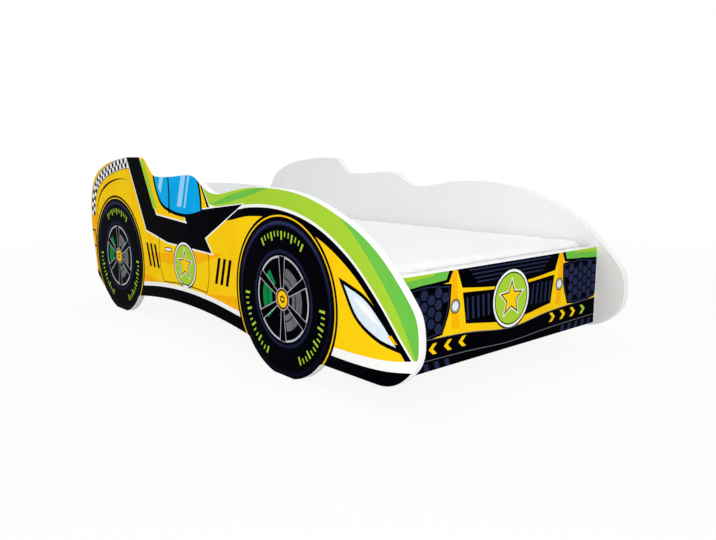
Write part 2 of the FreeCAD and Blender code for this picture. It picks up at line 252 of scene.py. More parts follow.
def rounder(loop):
    """The outline with the middle of each chord of its arcs moved out to the arc. Straight runs and corners
    stay as they are."""
    turns, runs = [], []
    for before, point, after in zip(loop[-1:] + loop[:-1], loop, loop[1:] + loop[:1]):
        first = math.atan2(point[1] - before[1], point[0] - before[0])
        second = math.atan2(after[1] - point[1], after[0] - point[0])
        turns.append(math.remainder(second - first, math.tau))
        runs.append(math.dist(point, after))
    found = []
    for index, point in enumerate(loop):
        found.append(point)
        ahead = (index + 1) % len(loop)
        turn, after = turns[index], turns[ahead]
        least = min(abs(turn), abs(after))
        longest = longest_run * max(runs[index - 1], runs[ahead])
        if turn * after > 0 and max(abs(turn), abs(after)) < widest_turn and runs[index] < longest:
            swell = math.copysign(math.tan(least / 4) / 2, turn)
            across, up = loop[ahead][0] - point[0], loop[ahead][1] - point[1]
            found.append((point[0] + across / 2 + up * swell, point[1] + up / 2 - across * swell))
    return found


longest_mitre = 2.5


def normals(line, closed):
    """Unit normals on the left of a line, longer at its corners so that an offset keeps its width."""
    found = []
    for index, point in enumerate(line):
        before = line[index - 1] if index or closed else None
        after = line[(index + 1) % len(line)] if index + 1 < len(line) or closed else None
        sides = []
        for a, b in ((before, point), (point, after)):
            if a and b and math.dist(a, b) > 1e-6:
                run = math.dist(a, b)
                sides.append(((a[1] - b[1]) / run, (b[0] - a[0]) / run))
        x, y = sum(side[0] for side in sides), sum(side[1] for side in sides)
        size = math.hypot(x, y) or 1.0
        lean = max(1 / longest_mitre, (x * sides[0][0] + y * sides[0][1]) / size)
        found.append((x / size / lean, y / size / lean))
    return found


def grown(loop, by):
    """Closed outline moved outwards, or inwards where by is below zero."""
    by = -by if area(loop) > 0 else by
    return [(x + nx * by, y + ny * by) for (x, y), (nx, ny) in zip(loop, normals(loop, True))]


def melamine_paint(place):
    mottle = place.noise(3.0, 2.0) + 0.4 * place.noise(45.0)
    peel = place.noise(900.0, 2.0)
    return {
        "Base Color": mottle.between(0.4, 1.0).blend(linear(238, 239, 239), linear(234, 234, 236)),
        "Roughness": 0.4 + 0.1 * place.noise(40.0),
        "Normal": peel.bump(0.00004),
    }


def edging_paint(place):
    grain = place.noise(500.0)
    return {
        "Base Color": grain.between(0.2, 0.8).blend(linear(248, 248, 247), linear(244, 244, 244)),
        "Roughness": 0.42 + 0.12 * place.noise(60.0),
        "Normal": grain.bump(0.00002),
    }


melamine = finish("white_melamine", {"Specular IOR Level": 0.3}, melamine_paint)
edging = finish("white_edging", {"Specular IOR Level": 0.3}, edging_paint)

head_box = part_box("head_panel")
board_thickness = (head_box[1].x - head_box[0].x) * 1000
arris = 1.0
arris_steps = 3


def inside(loop, spots):
    """Which of the spots lie within a closed outline, by the turns that it makes round each."""
    starts = np.array(loop)
    ends = np.roll(starts, -1, axis=0)
    near = np.all((spots >= starts.min(axis=0)) & (spots <= starts.max(axis=0)), axis=1)
    x, y = spots[near, 0, None], spots[near, 1, None]
    side = (ends[:, 0] - starts[:, 0]) * (y - starts[:, 1]) - (x - starts[:, 0]) * (ends[:, 1] - starts[:, 1])
    rising = (starts[:, 1] <= y) & (ends[:, 1] > y) & (side > 0)
    falling = (starts[:, 1] > y) & (ends[:, 1] <= y) & (side < 0)
    found = np.zeros(len(spots), bool)
    found[near] = rising.sum(axis=1) != falling.sum(axis=1)
    return found


def solid_piece(name, mesh):
    """Piece of a closed mesh, whose faces are turned outwards."""
    shell = bmesh.new()
    shell.from_mesh(mesh)
    bmesh.ops.recalc_face_normals(shell, faces=shell.faces)
    shell.to_mesh(mesh)
    shell.free()
    piece = bpy.data.objects.new(name, mesh)
    scene.collection.objects.link(piece)
    return piece


def cut_face(loops, cut):
    """Points of a flat face with an edge along each closed loop and along one straight cut, its triangles
    and their middles."""
    points, rings = [], []
    for loop in loops:
        rings.append(list(range(len(points), len(points) + len(loop))))
        points += [Vector(point) for point in loop]
    points += [Vector(end) for end in cut]
    cut_edge = (len(points) - 2, len(points) - 1)
    within_rings, merged_under = 1, 0.002
    flat, _, faces, _, _, _ = delaunay_2d_cdt(points, [cut_edge], rings, within_rings, merged_under)
    middles = [[sum(flat[corner][axis] for corner in face) / 3 for axis in (0, 1)] for face in faces]
    return flat, faces, np.array(middles)


def border(faces):
    """Ring of points round faces that lie side by side."""
    directed = {(a, b) for face in faces for a, b in zip(face, face[1:] + face[:1])}
    ahead = {a: b for a, b in directed if (b, a) not in directed}
    rim = [next(iter(ahead))]
    while ahead[rim[-1]] != rim[0]:
        rim.append(ahead[rim[-1]])
    return rim


def edge_profile():
    """Steps from the face's border over both eased arrises to the back, as reach outwards and depth."""
    front = []
    for step in range(1, arris_steps + 1):
        turn = math.pi / 2 * step / arris_steps
        front.append((arris * math.sin(turn), arris * (1 - math.cos(turn))))
    back = [(reach, board_thickness - depth) for reach, depth in front[::-1]]
    return front + back + [(0.0, board_thickness)]


# A board's map for baking. The face fills most of the square, in two rows that meet at the board's middle,
# and the back and the edges take a strip each above it.
map_margin = 0.004
face_start, face_row, face_row_gap = 0.003, 0.445, 0.005
back_start, back_row = 0.903, 0.065
edge_start, edge_row = 0.978, 0.02


def lay_out(mesh, spots, low, high, rim_points, face_count, sides):
    """Gives a board's mesh its map."""
    chart = mesh.uv_layers.new(name="OFBake")
    run = np.cumsum([0.0] + [math.dist(a, b) for a, b in zip(rim_points, rim_points[1:] + rim_points[:1])])
    middle = (low[0] + high[0]) / 2
    for face in mesh.polygons:
        row = face.index - face_count
        on_left = row < 0 and sum(spots[vert][0] for vert in face.vertices) / 3 < middle
        for corner in face.loop_indices:
            vert = mesh.loops[corner].vertex_index
            x, y, depth = spots[vert]
            across, up = (x - low[0]) / (high[0] - low[0]), (y - low[1]) / (high[1] - low[1])
            if row < 0:
                u = 2 * across - (0 if on_left else 1)
                v = face_start + face_row * up + (face_row + face_row_gap if on_left else 0.0)
            elif row < len(sides):
                start = row % len(rim_points)
                at_start = vert in (sides[row][0], sides[row][1])
                u = run[start if at_start else start + 1] / run[-1]
                v = edge_start + edge_row * depth / board_thickness
            else:
                u, v = across, back_start + back_row * up
            chart.data[corner].uv = (map_margin + (1 - 2 * map_margin) * u, v)


def board(name, outline, place, layers=(), ground=None):
    """Board as one closed mesh. place(across, up, depth) gives a point in metres from millimetres in the
    face and below it. layers are (ink, loop) from the lowest to the top one, over a ground of one ink."""
    face_edge = grown(outline, -arris)
    loops = [face_edge] + [loop for ink, loop in layers]
    inks = [ground or melamine] + [ink for ink, loop in layers]
    low, high = np.min(outline, axis=0), np.max(outline, axis=0)
    middle = (low[0] + high[0]) / 2
    flat, faces, middles = cut_face(loops, ((middle, low[1] - 1.0), (middle, high[1] + 1.0)))

    slots = []
    for ink in [edging, melamine] + inks:
        if ink not in slots:
            slots.append(ink)
    worn = np.zeros(len(faces), int)
    for ink, loop in zip(inks, loops):
        worn[inside(loop, middles)] = slots.index(ink)
    kept = np.flatnonzero(inside(face_edge, middles))
    used = sorted({corner for index in kept for corner in faces[index]})
    number = {old: new for new, old in enumerate(used)}
    front = [[number[corner] for corner in faces[index]] for index in kept]
    flat = [tuple(flat[old]) for old in used]

    rim = border(front)
    rim_points = [flat[index] for index in rim]
    outward = [(-x, -y) for x, y in normals(rim_points, True)]
    spots = [(x, y, 0.0) for x, y in flat]
    sides, last, count = [], rim, len(rim)
    for reach, depth in edge_profile():
        ring = list(range(len(spots), len(spots) + count))
        spots += [(x + nx * reach, y + ny * reach, depth) for (x, y), (nx, ny) in zip(rim_points, outward)]
        sides += [(last[k], ring[k], ring[(k + 1) % count], last[(k + 1) % count]) for k in range(count)]
        last = ring

    mesh = bpy.data.meshes.new(name)
    mesh.from_pydata([place(*spot) for spot in spots], [], front + sides + [last])
    for ink in slots:
        mesh.materials.append(ink)
    mesh.polygons.foreach_set("material_index", worn[kept].tolist() + [0] * len(sides) + [1])
    mesh.polygons.foreach_set("use_smooth", [False] * len(front) + [True] * len(sides) + [False])
    piece = solid_piece(name, mesh)
    lay_out(mesh, spots, low, high, rim_points, len(front), sides)
    return piece


# Side panels: one board each, printed on the outside with a racing car whose wheels, window and bonnet
# fill the outline. The print is laid in flat inks under a clear film, so every ink is a region of the face.
def between(a, b, start, end, now):
    """Point on the way from a at a start to b at an end."""
    return tuple((x * (end - now) + y * (now - start)) / (end - start) for x, y in zip(a, b))


def sweep(points, spacing=7.0):
    """Smooth curve through points, as a list of points about a spacing apart."""
    first = between(points[0], points[1], 0, 1, -1)
    last = between(points[-2], points[-1], 0, 1, 2)
    ring = [first, *points, last]
    curve = []
    for p0, p1, p2, p3 in zip(ring, ring[1:], ring[2:], ring[3:]):
        t1 = math.sqrt(math.dist(p0, p1))
        t2 = t1 + math.sqrt(math.dist(p1, p2))
        t3 = t2 + math.sqrt(math.dist(p2, p3))
        steps = max(2, round(math.dist(p1, p2) / spacing))
        for step in range(steps):
            now = t1 + (t2 - t1) * step / steps
            a = between(p0, p1, 0, t1, now)
            b = between(p1, p2, t1, t2, now)
            c = between(p2, p3, t2, t3, now)
            curve.append(between(between(a, b, 0, t2, now), between(b, c, t1, t3, now), t1, t2, now))
    return curve + [tuple(points[-1])]


def joined(*strokes):
    """Closed outline of smooth strokes, each of which goes on where the last one ended, in a corner."""
    outline = []
    for stroke in strokes:
        for point in sweep(stroke) if len(stroke) > 2 else stroke:
            if not outline or math.dist(point, outline[-1]) > 0.01:
                outline.append(tuple(point))
    if math.dist(outline[0], outline[-1]) < 0.01:
        outline.pop()
    return outline


def stripe(points, *widths):
    """Band along a line, smooth where it has more than two points, whose width runs through the widths."""
    line = sweep(points) if len(points) > 2 else points
    lengths = [0.0]
    for a, b in zip(line, line[1:]):
        lengths.append(lengths[-1] + math.dist(a, b))
    widths = widths if len(widths) > 1 else widths * 2
    left, right = [], []
    for (x, y), (nx, ny), length in zip(line, normals(line, False), lengths):
        share = length / lengths[-1] * (len(widths) - 1)
        part = min(int(share), len(widths) - 2)
        half = (widths[part] + (widths[part + 1] - widths[part]) * (share - part)) / 2
        left.append((x + nx * half, y + ny * half))
        right.append((x - nx * half, y - ny * half))
    return left + right[::-1]


def sector(centre, inner, outer, start, end):
    """Part of a ring between two bearings in degrees."""
    steps = max(1, round(abs(end - start) / 5))
    turns = [math.radians(start + (end - start) * step / steps) for step in range(steps + 1)]
    x, y = centre
    rim = [(x + outer * math.cos(turn), y + outer * math.sin(turn)) for turn in turns]
    return rim + [(x + inner * math.cos(turn), y + inner * math.sin(turn)) for turn in turns[::-1]]


def disc(centre, radius, sides=72):
    turns = [math.tau * side / sides for side in range(sides)]
    return [(centre[0] + radius * math.cos(turn), centre[1] + radius * math.sin(turn)) for turn in turns]


def star(centre, radius, tips=5, waist=0.45):
    corners = []
    for corner in range(2 * tips):
        reach = radius * (waist if corner % 2 else 1)
        turn = math.pi / 2 + math.pi * corner / tips
        corners.append((centre[0] + reach * math.cos(turn), centre[1] + reach * math.sin(turn)))
    return corners


def chequers(points, size, rows):
    """The squares of one colour in a chequered band along a smooth line."""
    line = sweep(points, size)
    sides = normals(line, False)
    squares = []
    for index, (a, b) in enumerate(zip(line, line[1:])):
        for row in range(index % 2, rows, 2):
            low, high = (row - rows / 2) * size, (row + 1 - rows / 2) * size
            corners = ((a, sides[index], low), (b, sides[index + 1], low),
                       (b, sides[index + 1], high), (a, sides[index], high))
            squares.append([(p[0] + side[0] * by, p[1] + side[1] * by) for p, side, by in corners])
    return squares


film_gloss = 0.003


def ink(name, colour, other):
    """Ink under the film: two close colours in blotches, with the film's fine orange peel."""

    def paint(place):
        blotch = place.stretched(1.0, 1.0, 0.55).noise(11.0, 4.0) + 0.35 * place.noise(70.0)
        return {
            "Base Color": blotch.between(0.55, 1.05).blend(linear(*colour), linear(*other)),
            "Roughness": 0.3 + 0.12 * place.noise(30.0),
            "Normal": place.noise(700.0, 2.0).bump(0.00004),
        }

    return finish("ink_" + name, {"Specular IOR Level": film_gloss}, paint)


wheel_gap = 905.0
wheel_middle = -95.5
wheel_height = 174.0
wheel_radius = 178.0
rim_radius = 96.0
spokes = 6
tick_step = 5.2


def sheen_ring(radius, crest, rise, fall):
    """Ring of sheen that is full at its crest and fades over its rise and its fall, all in mm."""
    rising = radius.between((crest - rise) / 1000, crest / 1000)
    return rising * (1.0 - radius.between(crest / 1000, (crest + fall) / 1000))


def tyre_paint(place):
    """Black rubber with a blue sheen on the shoulder and round the rim of each of the two wheels."""
    ahead = (place.axis("X") - wheel_middle / 1000).math("ABSOLUTE") - wheel_gap / 2000
    above = place.axis("Z") - wheel_height / 1000
    radius = (ahead * ahead + above * above).math("SQRT")
    shoulder = sheen_ring(radius, wheel_radius - 10.0, 8.0, 6.0)
    bead = sheen_ring(radius, rim_radius + 9.0, 5.0, 7.0)
    lit = above.between(-0.06, 0.17)
    sheen = (shoulder * (0.12 + 0.88 * lit) + 0.5 * bead) * (0.6 + 0.6 * place.noise(25.0))
    return {
        "Base Color": sheen.blend(linear(2, 2, 7), linear(46, 52, 92)),
        "Roughness": 0.32 + 0.12 * place.noise(30.0),
        "Normal": place.noise(700.0, 2.0).bump(0.00004),
    }


yellow = ink("yellow", (255, 212, 18), (254, 194, 14))
amber = ink("amber", (255, 186, 10), (252, 168, 12))
lime = ink("lime", (170, 213, 58), (160, 205, 54))
green = ink("green", (114, 199, 76), (104, 190, 72))
black = ink("black", (1, 1, 5), (5, 5, 11))
white = ink("white", (252, 252, 252), (244, 245, 247))
sky_blue = ink("sky_blue", (0, 168, 240), (30, 184, 246))
glint = ink("glint", (150, 214, 250), (186, 229, 252))
navy = ink("navy", (38, 46, 78), (30, 37, 66))
silver = ink("silver", (196, 198, 202), (160, 163, 168))
iron = ink("iron", (112, 115, 120), (84, 87, 92))
caliper_green = ink("caliper_green", (20, 140, 76), (16, 118, 64))
lamp_glass = ink("lamp_glass", (226, 239, 250), (200, 222, 240))
tyre = finish("ink_tyre", {"Specular IOR Level": film_gloss}, tyre_paint)


def ringed(loop, *rings):
    """Layers of a shape within wider rings of other inks, each given as its ink and its width."""
    return [(colour, grown(loop, width)) for colour, width in rings]


def wheel(centre):
    """Tyre with tick marks on its wall, rim with dark spokes, brake disc, caliper and hub."""
    layers = [
        (black, disc(centre, wheel_radius + 13)),
        (yellow, disc(centre, wheel_radius + 6.5)),
        (black, disc(centre, wheel_radius + 3)),
        (tyre, disc(centre, wheel_radius, 96)),
    ]
    for middle in (90, 213, 327):
        for tick in range(-6, 7):
            turn = middle + tick * tick_step
            inner, half = (131, 1.1) if tick % 3 == 0 else (138, 0.75)
            layers.append((lime, sector(centre, inner, 150, turn - half, turn + half)))
    layers += [
        (silver, disc(centre, rim_radius)),
        (black, disc(centre, rim_radius - 4.5)),
        (iron, sector(centre, 36, 72, -78, 78)),
        (black, sector(centre, 48, 51, -78, 78)),
        (caliper_green, sector(centre, 40, 76, 128, 222)),
        (black, sector(centre, 56, 58.5, 134, 216)),
    ]
    for spoke in range(spokes):
        turn = math.radians(90 + spoke * 360 / spokes)
        out = (math.cos(turn), math.sin(turn))

        def spot(reach, side):
            return (centre[0] + out[0] * reach - out[1] * side, centre[1] + out[1] * reach + out[0] * side)

        for colour, edge in ((silver, 0.0), (black, 1.7)):
            near, far = 5.5 - edge, 12 - edge
            layers.append((colour, [spot(18, -near), spot(95, -far), spot(95, far), spot(18, near)]))
    hub = ((silver, 25), (black, 22.8), (amber, 19), (yellow, 15.5))
    layers += [(colour, disc(centre, radius)) for colour, radius in hub]
    return layers + [(black, star(centre, 10.5, 6, 0.7)), (yellow, disc(centre, 4.5))]


def star_badge(centre, size):
    """Round lime badge with a yellow star."""
    rings = ((black, 1.0), (white, 0.94), (black, 0.86), (lime, 0.82))
    stars = ((white, 0.71), (black, 0.62), (yellow, 0.51))
    return ([(colour, disc(centre, size * share)) for colour, share in rings]
            + [(colour, star(centre, size * share)) for colour, share in stars])


# The side print's parts, in mm ahead of the middle of the bed and above the floor.
def tail_and_flank():
    """Amber shades low on the flank, and a chequered band over the tail."""
    back = [(-748, 292), (-738, 345), (-712, 385), (-660, 421), (-578, 447), (-480, 464), (-395, 468)]
    layers = [
        (amber, [(-790, 120), (-790, 300), (-700, 300), (-640, 120)]),
        (amber, joined([(150, 250), (-60, 235), (-360, 200)], [(-360, 200), (-386, 60)],
                       [(-386, 60), (195, 60)], [(195, 60), (150, 250)])),
        (yellow, joined([(150, 262), (-40, 205), (-250, 190), (-420, 230)], [(-420, 230), (-380, 140)],
                        [(-380, 140), (-100, 128), (180, 150)], [(180, 150), (150, 262)])),
        (black, stripe(back, 34)),
        (white, stripe(back, 30)),
    ]
    return layers + [(black, square) for square in chequers(back, 14, 2)]


def bonnet():
    """Lime bonnet over a white and a black line, with two green shades."""
    crease = [(46, 366), (120, 358), (230, 375), (357, 375.5), (475, 350), (581, 295), (663, 224),
              (726, 156), (800, 82)]
    layers = []
    for colour, lower in ((black, 27), (white, 7), (lime, 0)):
        edge = [(x, z - lower) for x, z in crease]
        layers.append((colour, joined([(-40, 500), (2, 430 - lower / 2), edge[0]], edge,
                                      [edge[-1], (800, 500)], [(800, 500), (-40, 500)])))
    return layers + [
        (green, joined([(800, 50), (800, 330)], [(800, 330), (520, 392)],
                       [(520, 392), (600, 330), (668, 262), (720, 196), (800, 60)])),
        (green, joined([(46, 366), (190, 402), (330, 420)], [(330, 420), (200, 388), (120, 372), (46, 366)])),
    ]


def flash():
    """Black zigzag flash down from the tail fin and along the door."""
    zigzag = [(-372, 500), (-262, 318), (-70, 306), (-92, 336), (196, 372), (14, 280), (44, 246), (-196, 252),
              (-330, 276), (-416, 430), (-456, 500)]
    return [
        *ringed(zigzag, (white, 7), (black, 3)),
        (lime, [(-352, 470), (-278, 338), (-252, 340), (-330, 478)]),
    ]


def door():
    """Air slots on both sides of the door, its shut lines and handle, and the bonnet's shut line."""
    layers = []
    for slot in range(3):
        for first, lean in ((62, 20), (-318, -20)):
            x = first + slot * 26
            layers.append((black, [(x, 168), (x + 13, 168), (x + 13 + lean, 236), (x + lean, 236)]))
    shut_lines = (
        [(-246, 262), (-252, 220), (-244, 168), (-228, 134)],
        [(-228, 134), (-100, 142), (20, 138)],
        [(20, 138), (32, 176), (34, 220), (28, 262)],
        [(420, 316), (452, 262), (468, 206), (472, 150)],
    )
    layers += [(black, stripe(line, 2.6)) for line in shut_lines]
    return layers + [
        (black, stripe([(-214, 228), (-172, 230)], 11)),
        (white, stripe([(-211, 228.2), (-175, 229.8)], 6.5)),
    ]


def tail_lamp():
    """Crease over the rear wheel, and an amber lamp with a yellow bar at the very rear."""
    crease = [(-726, 236), (-714, 312), (-674, 366), (-600, 402), (-500, 418), (-440, 414)]
    return [
        (black, stripe(crease, 0.2, 8, 0.2)),
        (black, [(-790, 246), (-738, 242), (-732, 186), (-790, 182)]),
        (amber, [(-790, 240), (-743, 237), (-738, 191), (-790, 187)]),
        (yellow, [(-790, 216), (-741, 215), (-740, 209), (-790, 209)]),
    ]


def skirts():
    """Black sill under a white line, and the same under the nose and the tail."""
    sill = [(-560, 50), (-386, 66), (-240, 82), (-95, 88), (50, 82), (195, 66), (360, 50)]
    layers = []
    for colour, lift in ((white, 47), (black, 35)):
        edge = [(x, z + lift) for x, z in sill]
        layers.append((colour, joined(edge, [edge[-1], (360, 0)], [(360, 0), (-560, 0)])))
    nose = ((white, [(470, 104), (600, 104), (700, 112), (800, 136)]),
            (black, [(470, 86), (600, 84), (690, 90), (800, 112)]))
    for colour, edge in nose:
        layers.append((colour, joined(edge, [edge[-1], (800, 0)], [(800, 0), (470, 0)])))
    return layers + [(black, joined([(-800, 130), (-742, 112), (-690, 60)], [(-690, 60), (-800, 60)]))]


def headlight():
    lamp = joined([(566, 236), (628, 214), (676, 176), (712, 140)],
                  [(712, 140), (664, 148), (606, 178), (566, 236)])
    return [
        *ringed(lamp, (black, 8), (lamp_glass, 0)),
        (white, joined([(592, 218), (634, 202), (672, 170)], [(672, 170), (630, 188), (592, 218)])),
        (amber, [(690, 158), (706, 145), (716, 146), (700, 160)]),
    ]


def window():
    """Blue window in a black frame with one post, and streaks of light."""
    pane = joined([(-262, 470), (-262, 424), (-226, 362), (-160, 340), (-70, 335), (0, 347)],
                  [(0, 347), (-4, 392), (-30, 470)], [(-30, 470), (-262, 470)])
    return [
        *ringed(pane, (black, 9), (sky_blue, 0)),
        (black, stripe([(-196, 500), (-176, 420), (-178, 330)], 9, 7, 9)),
        (glint, [(-130, 352), (-104, 352), (-62, 470), (-88, 470)]),
        (glint, [(-92, 350), (-82, 350), (-40, 470), (-50, 470)]),
        (glint, [(-240, 400), (-226, 384), (-200, 440), (-216, 452)]),
    ]


side_print = tail_and_flank() + bonnet() + flash() + star_badge((-98, 196), 65) + door()
side_print += tail_lamp() + skirts() + headlight() + window()
for side in (-1, 1):
    side_print += wheel((wheel_middle + side * wheel_gap / 2, wheel_height))

for side, node in ((-1, "side_panel_right"), (1, "side_panel_left")):
    low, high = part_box(node)
    outer = max(abs(low.y), abs(high.y))

    def on_side(x, z, depth, side=side, outer=outer):
        return (x / 1000, side * (outer - depth / 1000), z / 1000)

    panel = board(node + "_printed", face_outline(node, 1, side * outer), on_side, side_print, yellow)
    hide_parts(node)
    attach(panel, "bed_frame")


# Front panel: the same board between the side panels, 77 mm behind the nose, printed with the car's front.
# Bolts and dowels in its ends join it to the side panels.
def both_sides(layers):
    """Layers of the left-hand side, and their mirror images."""
    return layers + [(colour, [(-y, z) for y, z in loop][::-1]) for colour, loop in layers]


# The front print's parts, in mm across the bed and above the floor.
def front_corners():
    """Amber posts with a green and a lime corner above a black line."""
    return both_sides([
        (amber, [(172, 140), (196, 140), (200, 262), (184, 262)]),
        (black, [(176, 300), (206, 238), (400, 226), (400, 300)]),
        (green, [(190, 300), (214, 244), (400, 233), (400, 300)]),
        (lime, [(214, 300), (250, 256), (400, 248), (400, 300)]),
    ])


def louvres():
    """Black bonnet end with four louvres."""
    layers = [(black, joined([(-198, 300), (-166, 222)], [(-166, 222), (-60, 212), (60, 212), (166, 222)],
                             [(166, 222), (198, 300)]))]
    for slat in range(4):
        z, half = 257 - slat * 9, 146 - slat * 9
        layers.append((navy, [(-half, z), (half, z), (half - 3, z - 3.5), (3 - half, z - 3.5)]))
    return layers


def grille():
    """Grille with upright bars, and a spotlight and an intake of honeycomb mesh on both sides of it."""
    opening = joined([(-164, 212), (0, 204), (164, 212)], [(164, 212), (152, 146)],
                     [(152, 146), (0, 130), (-152, 146)], [(-152, 146), (-164, 212)])
    intake = joined([(206, 228), (272, 234), (346, 226)], [(346, 226), (354, 184), (342, 144)],
                    [(342, 144), (284, 137), (228, 141)], [(228, 141), (210, 184), (206, 228)])
    layers = ringed(intake, (black, 7), (navy, 2.5), (black, 0))
    cells = [(216 + column * 20.4, 138 + (row + column % 2 / 2) * 23.6)
             for column in range(7) for row in range(5)]
    for cell, fits in zip(cells, inside(grown(intake, -8), np.array(cells))):
        if fits:
            layers.append((navy, disc(cell, 11.2, 6)))
    for bar in range(5):
        y = 74 + bar * 17
        layers.append((navy, [(y, 153), (y + 6.5, 153), (y + 10.5, 200), (y + 4, 200)]))
    for colour, radius in ((black, 15), (silver, 12.5), (black, 10.8), (lamp_glass, 9.5)):
        layers.append((colour, disc((186, 187), radius, 48)))
    return [(black, opening)] + both_sides(layers)


def bumper():
    """Black bumper between grey lines with chevrons on it, over a black apron with vanes."""
    layers = [(black, [(-400, 100), (400, 100), (400, 0), (-400, 0)])]
    vanes = []
    for vane in range(5):
        y = 196 + vane * 30
        vanes.append((navy, [(y, 60), (y + 13, 60), (y + 21, 84), (y + 8, 84)]))
    beam = joined([(-400, 134), (-150, 126), (0, 112), (150, 126), (400, 134)], [(400, 134), (400, 92)],
                  [(400, 92), (150, 88), (0, 82), (-150, 88), (-400, 92)], [(-400, 92), (-400, 134)])
    layers += both_sides(vanes) + ringed(beam, (iron, 1.5), (black, 0))
    chevrons = []
    for step, colour in enumerate((yellow, yellow, yellow, lime)):
        y = 150 + step * 44
        arrow = [(y, 100), (y + 12, 100), (y + 24, 111), (y + 12, 122), (y, 122), (y + 12, 111)]
        chevrons.append((colour, arrow))
    return layers + both_sides(chevrons)


front_print = front_corners() + louvres() + grille() + star_badge((0, 178), 68) + bumper()
front_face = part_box("front_panel")[1].x


def on_front(y, z, depth):
    return (front_face - depth / 1000, y / 1000, z / 1000)


outline = face_outline("front_panel", 0, front_face)
panel = board("front_panel_printed", outline, on_front, front_print, yellow)
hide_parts("front_panel")
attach(panel, "bed_frame")


# Head panel: plain white board at the rear with an arched top edge, edged all round and joined to the
# side panels as the front one is.
head_face = head_box[0].x


def on_head(y, z, depth):
    return (head_face + depth / 1000, y / 1000, z / 1000)


panel = board("head_panel_white", face_outline("head_panel", 0, head_face), on_head)
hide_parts("head_panel")
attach(panel, "bed_frame")


# Knock-down fittings: steel bolts screwed into the side panels, zinc cams in the end panels that draw the
# bolts in, white caps over the cams, and fluted beech dowels that line the boards up.
def dress(material, *nodes):
    """Gives CAD pieces whose shape is right their finish."""
    for node in nodes:
        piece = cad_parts[node]
        piece.data.materials.clear()
        piece.data.materials.append(material)


def plated_paint(place):
    bright = place.noise(160.0, 4.0)
    drawn = place.stretched(1.0, 1.0, 12.0).noise(300.0)
    return {
        "Base Color": bright.between(0.3, 0.7).blend(linear(214, 216, 220), linear(182, 184, 188)),
        "Roughness": 0.24 + 0.2 * bright,
        "Normal": drawn.bump(0.00003),
    }


def cast_paint(place):
    grain = place.noise(700.0, 4.0)
    return {
        "Base Color": grain.between(0.3, 0.7).blend(linear(188, 188, 186), linear(150, 151, 152)),
        "Roughness": 0.42 + 0.2 * place.noise(220.0),
        "Normal": grain.bump(0.00008),
    }


def plastic_paint(place):
    texture = place.noise(1500.0, 2.0)
    return {
        "Base Color": place.noise(60.0).between(0.3, 0.7).blend(linear(244, 244, 242), linear(236, 236, 233)),
        "Roughness": 0.38 + 0.12 * texture,
        "Normal": texture.bump(0.00003),
    }


def beech_paint(place):
    flecks = place.stretched(1.0, 0.2, 1.0).noise(900.0, 2.0)
    tone = place.stretched(1.0, 0.1, 1.0).noise(120.0)
    colour = tone.between(0.3, 0.7).blend(linear(222, 184, 140), linear(204, 160, 114))
    return {
        "Base Color": flecks.between(0.6, 0.7).blend(colour, linear(168, 118, 76)),
        "Roughness": 0.6 + 0.2 * tone,
        "Normal": flecks.bump(0.0001),
    }


plated = finish("zinc_plated_steel", {"Metallic": 1.0}, plated_paint)
cast_zinc = finish("cast_zinc", {"Metallic": 1.0}, cast_paint)
cap_plastic = finish("white_cap_plastic", {}, plastic_paint)
beech = finish("beech_dowel", {"Specular IOR Level": 0.3}, beech_paint)

dress(plated, "front_cam_bolts", "head_cam_bolts")
dress(cast_zinc, "front_cams", "head_cams")
dress(cap_plastic, "front_cam_caps", "head_cam_caps")
dress(beech, "front_dowels", "head_dowels")


# Bed base: two planed pine battens screwed to the side panels, and thirteen pine slats with eased top
# edges that lie across them. The first and the last slat are screwed down.
slat_names = ["slat_%02d" % number for number in range(1, 14)]
slat_middles = [(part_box(name)[0].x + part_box(name)[1].x) / 2 for name in slat_names]
slat_pitch = slat_middles[1] - slat_middles[0]


def pine_paint(along_axis, across_axis, number_of):
    """Pine with year rings, fibres and knots, cut from another place of the log for each numbered piece."""

    def paint(place):
        number = number_of(place)
        luck = number.node("TexWhiteNoise", {"noise_dimensions": "1D"}, {"W": number}, "Value")
        along = place.axis(along_axis) + 3.7 * luck
        across = place.axis(across_axis)
        up = place.axis("Z")
        wander = place.node("CombineXYZ", {}, {0: 0.35 * along, 1: across, 2: up}).noise(5.0, 2.0)
        heart = across + 0.05 * wander + 0.09 * luck
        rings = ((heart * heart + (up - 0.1) * (up - 0.1)).math("SQRT") * 210.0 + 3.0 * wander).math("FRACT")
        late = rings.between(0.35, 0.9) * (1.0 - rings.between(0.93, 1.0))
        fibres = place.node("CombineXYZ", {}, {0: 14.0 * along, 1: 420.0 * across, 2: 420.0 * up})
        fibre = fibres.noise(1.0, 3.0)
        knots = place.node("CombineXYZ", {}, {0: 2.6 * along, 1: 9.0 * across + 11.0 * luck, 2: 9.0 * up})
        knot = knots.node("TexVoronoi", {}, {"Vector": knots, "Scale": 1.0}, "Distance")
        pale = fibre.between(0.3, 0.75).blend(linear(238, 214, 172), linear(228, 198, 150))
        grained = (0.65 * late + 0.25 * fibre * late).blend(pale, linear(206, 160, 104))
        halo = 1.0 - knot.between(0.06, 0.16)
        core = 1.0 - knot.between(0.035, 0.07)
        colour = core.blend((0.6 * halo).blend(grained, linear(196, 142, 84)), linear(128, 78, 44))
        return {
            "Base Color": colour,
            "Roughness": 0.55 + 0.2 * fibre,
            "Normal": (0.6 * fibre + 0.4 * late).bump(0.00025),
        }

    return paint


def slat_number(place):
    return ((place.axis("X") - slat_middles[0]) * (1 / slat_pitch) + 0.5).math("FLOOR")


def rail_number(place):
    return place.axis("Y").math("SIGN") + 40.0


dress(finish("pine_slats", {"Specular IOR Level": 0.3}, pine_paint("Y", "X", slat_number)), *slat_names)
dress(finish("pine_battens", {"Specular IOR Level": 0.3}, pine_paint("X", "Y", rail_number)),
      "slat_rail_right", "slat_rail_left")


